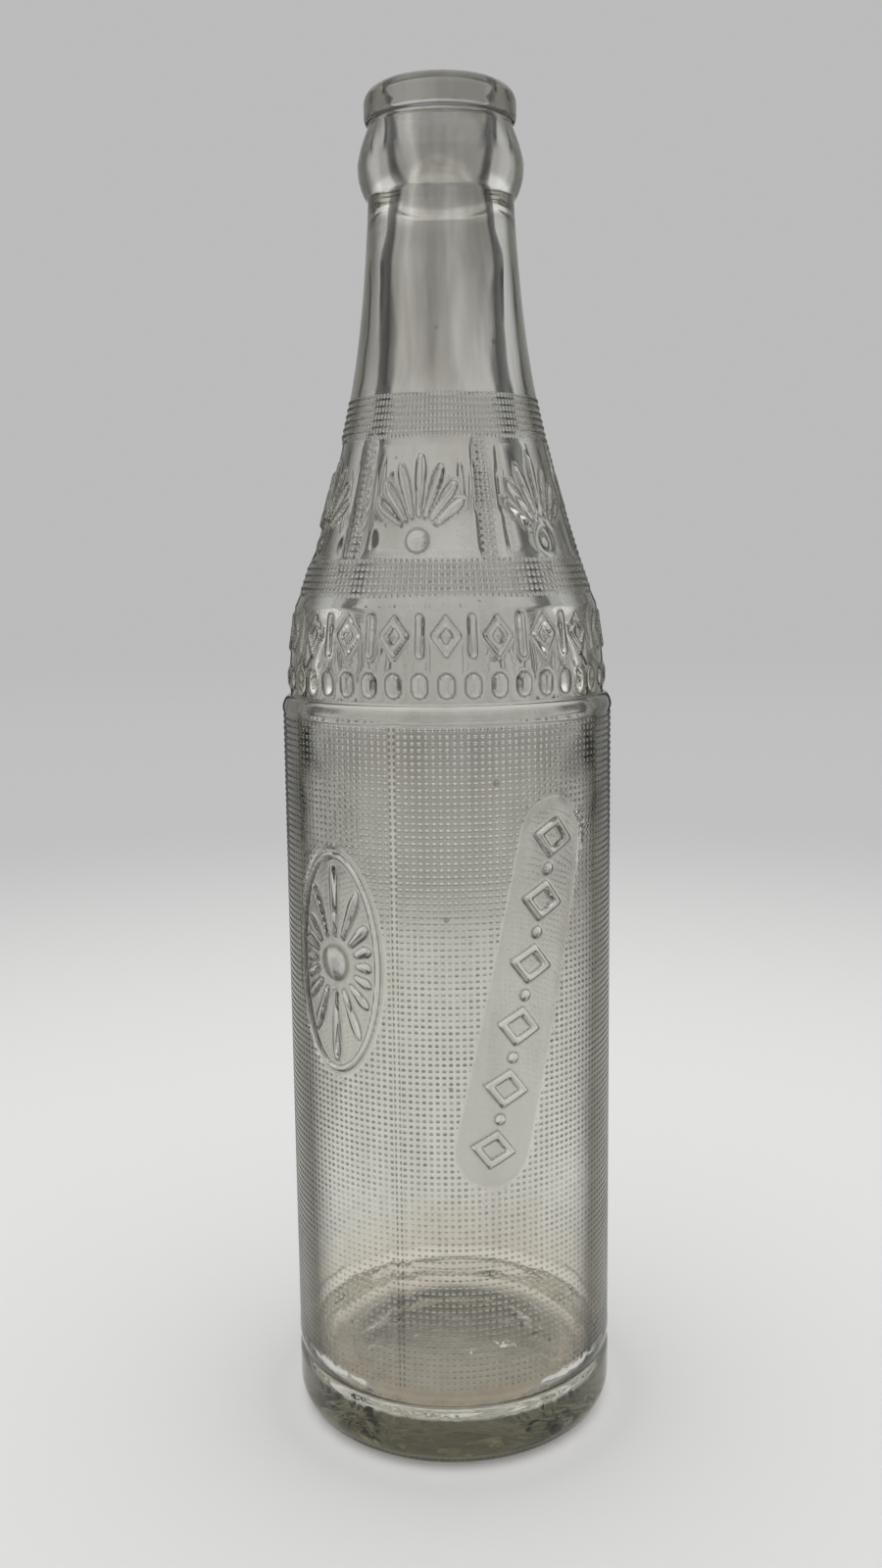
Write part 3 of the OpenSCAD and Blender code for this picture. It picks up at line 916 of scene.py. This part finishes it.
# %% [markdown]
# No two hobs are alike: the mould wore unevenly. White noise gives each cell its own strength and soft
# clouds make whole patches weak or strong. Towards the heel the hobs fade, as they do in the photo.

# %% The strength of each hob
cell_share, patch_gain, patch_base = 0.45, 2.4, -0.55
heel_share, heel_fade = 0.35, (0.025, 0.06)
cell = nodes.new("ShaderNodeCombineXYZ")
links.new(math_node("FLOOR", column), cell.inputs[0])
links.new(math_node("FLOOR", row), cell.inputs[1])
uneven = nodes.new("ShaderNodeTexWhiteNoise")
uneven.noise_dimensions = "2D"
links.new(cell.outputs[0], uneven.inputs["Vector"])
patchy = math_node("MULTIPLY_ADD", patches, patch_gain, patch_base)
strength = math_node("ADD", both(uneven.outputs["Value"], cell_share), patchy, clamp=True)
strength = both(strength, rising(height, heel_fade, heel_share))
print("hobs keep", heel_share, "of their strength at the heel")

# %% [markdown]
# A hob gathers what lies behind it. High on the body the far background is greyer than the light above
# it, so a hob's tip shines on a dull ground; low on the body the pale floor is behind, so the tip is dull
# on a bright ground. Painted shade stands in for this: the ground is tinted darker high on the body and
# the tips darker low on it, with a soft and uneven change at about half the height.

# %% Tints of the stipple
clean = (0.89, 0.885, 0.85)
# Painted shade: the dull ground between the hobs high on the body.
valley_shade = (0.49, 0.48, 0.44)
# Painted shade on the hob tips low on the body and on the seam's dots; the seeds' real specks share this
# colour.
shade_and_speck_dark = (0.18, 0.17, 0.13)
upper_from, ragged = (0.098, 0.118), 16 * MM
upper = between(math_node("MULTIPLY_ADD", patches, ragged, height), upper_from)
valley_tint = tint_between(upper, clean, valley_shade)
tip_tint = tint_between(upper, shade_and_speck_dark, clean)
strong_tip = tint_between(strength, valley_tint, tip_tint)
stipple_tint = tint_between(spot(spot_reach, spot_power), valley_tint, strong_tip)
print("stipple tints change over between %.0f and %.0f mm" % tuple(z / MM for z in upper_from))

# %% [markdown]
# The ground of an old bottle isn't even. Handling stains it, the flow of the glass draws streaks in the
# neck, and the thick floor is darker. Painted shade makes the sunk places duller, painted light makes the
# glass from the shoulder's panels up and the heel from its groove down lighter, thick olive glass and
# painted shade make the heel and lip darker, and a painted shadow lies in the notch under the lip. Each
# is one soft change of tint along the height or a mark. The heel is tinted on its near side only: the
# floor is seen through the far side and the bottom, and would be darkened twice.

# %% Tints of the ground
stained = (0.80, 0.77, 0.70)
# Painted shade in the sunk smooth places.
sunk_place_shade = (0.66, 0.65, 0.61)
# Painted light: the glass from the shoulder up is tinted lighter.
painted_light_above = (0.98, 0.975, 0.95)
streak_grey = (0.50, 0.49, 0.46)
# Thick olive glass and painted shade darken the heel's near side.
heel_olive_shade = (0.04, 0.036, 0.018)
# Thick olive glass and painted shade darken the lip.
lip_olive_shade = (0.35, 0.34, 0.29)
# Painted shadow in the notch under the lip.
notch_shade = (0.04, 0.04, 0.04)
# No tint: painted light on the heel from the groove down, a painted highlight on the raised lines'
# slopes, and clear glass for light going on to the paper.
untinted_light = (1, 1, 1)
floor_brown = (1.0, 0.90, 0.75)
streak_stretch, streak_scale, streak_detail = (1, 1, 0.12), 120, 3
streak_clouds, stain_clouds, low_streaks = (0.44, 0.62), (0.5, 0.75), 0.2
panels_from, neck_from, lip_from = (0.150, 0.158), (0.182, 0.20), (0.2345, 0.2365)
groove_below, floor_below, heel_below = (0.0148, 0.0138), (0.030, 0.011), (0.0108, 0.0096)
notch_opens, notch_closes = (0.2350, 0.2353), (0.2360, 0.2356)
heel_side_from, place_from = (0.0262, 0.0272), (-0.1, 0.25)

drawn_out = nodes.new("ShaderNodeVectorMath")
drawn_out.operation = "MULTIPLY"
drawn_out.inputs[1].default_value = streak_stretch
links.new(on_skin, drawn_out.inputs[0])
streaks = between(noise(drawn_out.outputs[0], streak_scale, streak_detail), streak_clouds)
at_floor = both(between(height, floor_below), inner)
off_axis = length(split_place.outputs[0], split_place.outputs[1])
heel_side = both(between(off_axis, heel_side_from), front_outer)
layers = ((between(height, panels_from), painted_light_above),
          (between(patches, stain_clouds), stained),
          (between(inset, place_from), sunk_place_shade),
          (both(streaks, rising(height, neck_from, low_streaks)), streak_grey),
          (at_floor, floor_brown),
          (both(between(height, groove_below), outer_skin), untinted_light),
          (both(between(height, heel_below), heel_side), heel_olive_shade),
          (both(between(height, lip_from), outer_skin), lip_olive_shade),
          (both(window(height, notch_opens, notch_closes), front_outer), notch_shade))
ground_tint = clean
for where, tint in layers:
    ground_tint = tint_between(where, ground_tint, tint)
tinted = tint_between(stippled, ground_tint, stipple_tint)
print("ground tints:", len(layers))

# %% [markdown]
# A dotted line of painted shade runs along each mould seam, where the stipple breaks off. A few seeds and
# specks, small flaws of the old glass, finish it. A Voronoi texture scatters the seeds, and its random
# colour picks the few cells that have one.

# %% Seam dots and seeds
seam_dot_reach = 0.34
seed_scale = 120
seed_share, seed_spread, seed_least = 0.8, 0.3, -0.22
edge_away = length(math_node("SUBTRACT", 0.5, off_column), off_row)
at_edge = both(math_node("LESS_THAN", edge_away, seam_dot_reach), near_side)
# Painted shade: dots along each seam.
seam_dots = both(at_edge, mark("seam_mark"))
seeds = put(nodes.new("ShaderNodeTexVoronoi"), {"Scale": seed_scale})
links.new(on_skin, seeds.inputs["Vector"])
seed_size = nodes.new("ShaderNodeSeparateColor")
links.new(seeds.outputs["Color"], seed_size.inputs[0])
seed_reach = math_node("MULTIPLY_ADD", seed_size.outputs[0], seed_spread, seed_least)
seed = both(math_node("LESS_THAN", seeds.outputs["Distance"], seed_reach), seed_share)
marked = tint_between(math_node("MAXIMUM", seam_dots, seed), tinted, shade_and_speck_dark)
print("seeds: about one in four of the cells of %.0f mm" % (1 / MM / seed_scale))

# %% [markdown]
# Moulded ornament shows by its outline: painted shade darkens the foot of each line, and a painted
# highlight leaves the slope above it clear. Both follow the mark of how high the line stands.

# %% Foot and slope of the raised lines
# Painted shade at the foot of each raised line.
line_foot_shade = (0.26, 0.25, 0.21)
raised = mark("raised")
foot_opens, foot_closes = (0.02, 0.15), (0.5, 0.25)
slope_opens, slope_closes = (0.3, 0.5), (1.02, 0.8)
foot_line = both(window(raised, foot_opens, foot_closes), front_outer)
slope_line = both(window(raised, slope_opens, slope_closes), front_outer)
footed = tint_between(foot_line, marked, line_foot_shade)
# Painted highlight on the slope above each line.
sloped = tint_between(slope_line, footed, untinted_light)
print("dark to", foot_closes[0], "of a line's height, clear from", slope_opens[0])

# %% [markdown]
# Where a wall of glass is seen along its length, it turns dark: the outer edge goes olive, and the edge
# of the hollow inside draws a black line down the neck. Both are painted shade, the olive rim partly the
# glass's own colour; Layer Weight's Facing finds both, from any side. The bottom and the inner floor have
# neither, since both are seen along their length from any side. Light that goes on to the paper keeps
# clear of all tints, or the paper under the base would go black.

# %% Dark rims of the walls
olive_rim_shade = (0.05, 0.047, 0.028)
black_rim = (0.006, 0.006, 0.005)
olive_facing, black_facing = (0.40, 0.60), (0.38, 0.50)
side_from, black_from, body_black = (0.0025, 0.004), (0.150, 0.185), 0.15
facing = nodes.new("ShaderNodeLayerWeight")
outer_side = both(between(height, side_from), front_outer)
olive = both(between(facing.outputs["Facing"], olive_facing), outer_side)
rimmed = tint_between(olive, sloped, olive_rim_shade)
inner_side = math_node("SUBTRACT", front_inner, both(front_inner, at_floor))
black = both(between(facing.outputs["Facing"], black_facing), inner_side)
seen_tint = tint_between(both(black, rising(height, black_from, body_black)), rimmed, black_rim)
ray = nodes.new("ShaderNodeLightPath")
after_floor = math_node("GREATER_THAN", ray.outputs["Diffuse Depth"], 0.5)
links.new(tint_between(after_floor, seen_tint, untinted_light), shader.inputs["Base Color"])
print("black rims at %.2f of their strength on the body" % body_black)

# %% [markdown]
# Blown glass is never quite even. Slow waves run over both skins, stronger in the throat, and the cold
# mould left fine chill marks round the inner floor. A bump does for them: they are a few hundredths of
# a millimetre high, far less than a face of the mesh is wide. A dome on each hob goes on top. Behind the
# collar the inner skin is a little rippled and so less clear.

# %% Waves, chill marks and domes
wave_scale, chill_scale = 45, 170
wave_h, dome_h = 0.5 * MM, 0.25 * MM
throat_from, throat_gain = (0.200, 0.216), 2.0
chill_below, chill_gain = (0.030, 0.014), 1.2
blur_opens, blur_closes = (0.2215, 0.2235), (0.2315, 0.2295)
smooth, blurred = 0.03, 0.11

waves = noise(on_skin, wave_scale)
in_throat = both(between(height, throat_from), inner)
throat_waves = math_node("MULTIPLY_ADD", both(waves, in_throat), throat_gain, waves)
chill = both(noise(on_skin, chill_scale), both(between(height, chill_below), inner))
wavy = put(nodes.new("ShaderNodeBump"), {"Distance": wave_h})
links.new(math_node("MULTIPLY_ADD", chill, chill_gain, throat_waves), wavy.inputs["Height"])

dome = both(both(spot(dome_reach, dome_power), stippled), strength)
domed = put(nodes.new("ShaderNodeBump"), {"Distance": dome_h})
links.new(dome, domed.inputs["Height"])
links.new(wavy.outputs[0], domed.inputs["Normal"])
links.new(domed.outputs[0], shader.inputs["Normal"])

rippled = both(window(height, blur_opens, blur_closes), inner)
links.new(math_node("MULTIPLY_ADD", rippled, blurred, smooth), shader.inputs["Roughness"])
print("glass nodes:", len(nodes))

# %% [markdown]
# The bottle stands on a sheet of pale paper. A painted pool of light makes its tone brightest round the
# bottle, where the glass gathers light, and most of all under the base, and it falls to the background's
# tone further out. There the sheet fades away, so that no horizon line cuts through the glass. Soft steps
# of the distance do it.

# %% Floor
pale = 0.50
# Painted pool of light round the bottle, brightest under the base.
painted_pool_paper = (0.74, 0.74, 0.73)
painted_light_under_base = (0.96, 0.95, 0.93)
floor_r, floor_gap, floor_corners = 6, 0.2 * MM, 64
under_base, greyer_from, fade_from = (0.026, 0.036), (0.12, 0.65), (0.6, 2.4)
ground = bmesh.new()
bmesh.ops.create_circle(ground, cap_ends=True, segments=floor_corners, radius=floor_r)
bmesh.ops.translate(ground, vec=(0, 0, -floor_gap), verts=ground.verts)
floor = as_object(ground, "floor")
nodes, links, paper = dress(floor, "floor_paper")
put(paper, {"Roughness": 0.9, "Specular IOR Level": 0.1})
place_on_floor = nodes.new("ShaderNodeTexCoord")
distance = nodes.new("ShaderNodeVectorMath")
distance.operation = "LENGTH"
links.new(place_on_floor.outputs["Object"], distance.inputs[0])
from_axis = distance.outputs["Value"]
wide_tone = tint_between(between(from_axis, greyer_from), painted_pool_paper, (pale, pale, pale))
floor_tone = tint_between(between(from_axis, under_base), painted_light_under_base, wide_tone)
links.new(floor_tone, paper.inputs["Base Color"])
clear = nodes.new("ShaderNodeBsdfTransparent")
show_mix(between(from_axis, fade_from), paper.outputs[0], clear.outputs[0], "Material Output")
print("floor: %.1f m wide, %.2f pale far off" % (2 * floor_r, pale))

# %% [markdown]
# The light is a plain soft studio: pale all round, brighter overhead like a large softbox. A lamp would
# draw its own hard shape in the glass, so the world gives all the light, as a ramp over the direction's
# height. The camera sees only the plain pale tone behind the bottle. Glass needs many bounces, or its
# thick places go black.

# %% World
horizon_up, high_up, top_light = 0.95, 1.0, 1.5
tones = ((0.0, pale), (0.40, pale), (0.55, horizon_up), (0.75, high_up), (0.85, top_light),
         (1.0, top_light))
world_strength = 2
most_bounces, gloss_bounces = 32, 16
world = bpy.data.worlds.new("studio")
scene.world = world
world.use_nodes = True
nodes, links = world.node_tree.nodes, world.node_tree.links
direction = nodes.new("ShaderNodeTexCoord")
split = nodes.new("ShaderNodeSeparateXYZ")
links.new(direction.outputs["Generated"], split.inputs[0])
ramp = nodes.new("ShaderNodeValToRGB")
ramp.color_ramp.interpolation = "EASE"
links.new(split.outputs[2], ramp.inputs[0])
stops = ramp.color_ramp.elements
while len(stops) < len(tones):
    stops.new(0.5)
for stop, (position, tone) in zip(stops, tones):
    stop.position = position
    stop.color = (*[tone / world_strength] * 3, 1)
links.new(ramp.outputs[0], nodes["Background"].inputs["Color"])
studio = put(nodes["Background"], {"Strength": world_strength})
plain = put(nodes.new("ShaderNodeBackground"), {"Color": (pale, pale, pale, 1)})
seen_by = nodes.new("ShaderNodeLightPath")
show_mix(seen_by.outputs["Is Camera Ray"], studio.outputs[0], plain.outputs[0], "World Output")
scene.cycles.max_bounces = most_bounces
scene.cycles.transmission_bounces = most_bounces
scene.cycles.glossy_bounces = gloss_bounces
print("world: tones from %.2f to %.2f" % (pale, top_light))

# %% [markdown]
# A photographer of glass stands black cards beside it, just out of view, so that its edges and its
# ornament are drawn with dark lines. Eight soft-edged cards stand in a ring here, so the bottle looks
# the same from each side. They are one band of faces round the bottle, and a mark at its corners says
# where it is dark. Only the glass sees them: they are hidden from the camera and cast no shadow.

# %% Cards
card_away = 0.30
card_heights = [0.02, 0.03, 0.04, 0.06, 0.10, 0.12, 0.14, 0.16, 0.20, 0.22, 0.24, 0.26]
card_turn = 45
card_half, card_half_low, card_edge = 4.5, 8.0, 2.5
widens, fades_up, fades_down = (0.10, 0.16), (0.20, 0.26), (0.06, 0.02)
card_steps = 288
ring = spin([(card_away, z) for z in card_heights], card_steps)


def fall(value, start, end):
    """One at the start, nothing at the end, softly in between."""
    share = limited((value - start) / (end - start))
    return 1 - share * share * (3 - 2 * share)


dark_mark = ring.verts.layers.float.new("dark")
for vert in ring.verts:
    off = abs(turn_between(angle_of(vert.co) % card_turn, card_turn / 2))
    half = card_half + (card_half_low - card_half) * fall(vert.co.z, *widens)
    ends = fall(vert.co.z, *fades_up) * fall(vert.co.z, *fades_down)
    vert[dark_mark] = fall(off, half - card_edge, half + card_edge) * ends
cards = as_object(ring, "studio_cards")
print("cards:", 360 // card_turn, "of them, in a band of", len(cards.data.polygons), "faces")

# %% [markdown]
# The card's black is felt, so it has no shine. Where the mark is low the band is open air, which a
# Transparent shader mixed in by the mark gives.

# %% The cards' felt
felt_black = (0.04, 0.04, 0.04, 1)
nodes, links, felt = dress(cards, "dark_card")
put(felt, {"Base Color": felt_black, "Roughness": 1, "Specular IOR Level": 0})
open_air = nodes.new("ShaderNodeBsdfTransparent")
show_mix(mark("dark"), open_air.outputs[0], felt.outputs[0], "Material Output")
cards.visible_camera = False
cards.visible_diffuse = False
cards.visible_shadow = False
print("cards hidden from the camera:", not cards.visible_camera)

# %% [markdown]
# Last, colours are shown as they are written.

# %% Finish
scene.view_settings.view_transform = "Standard"
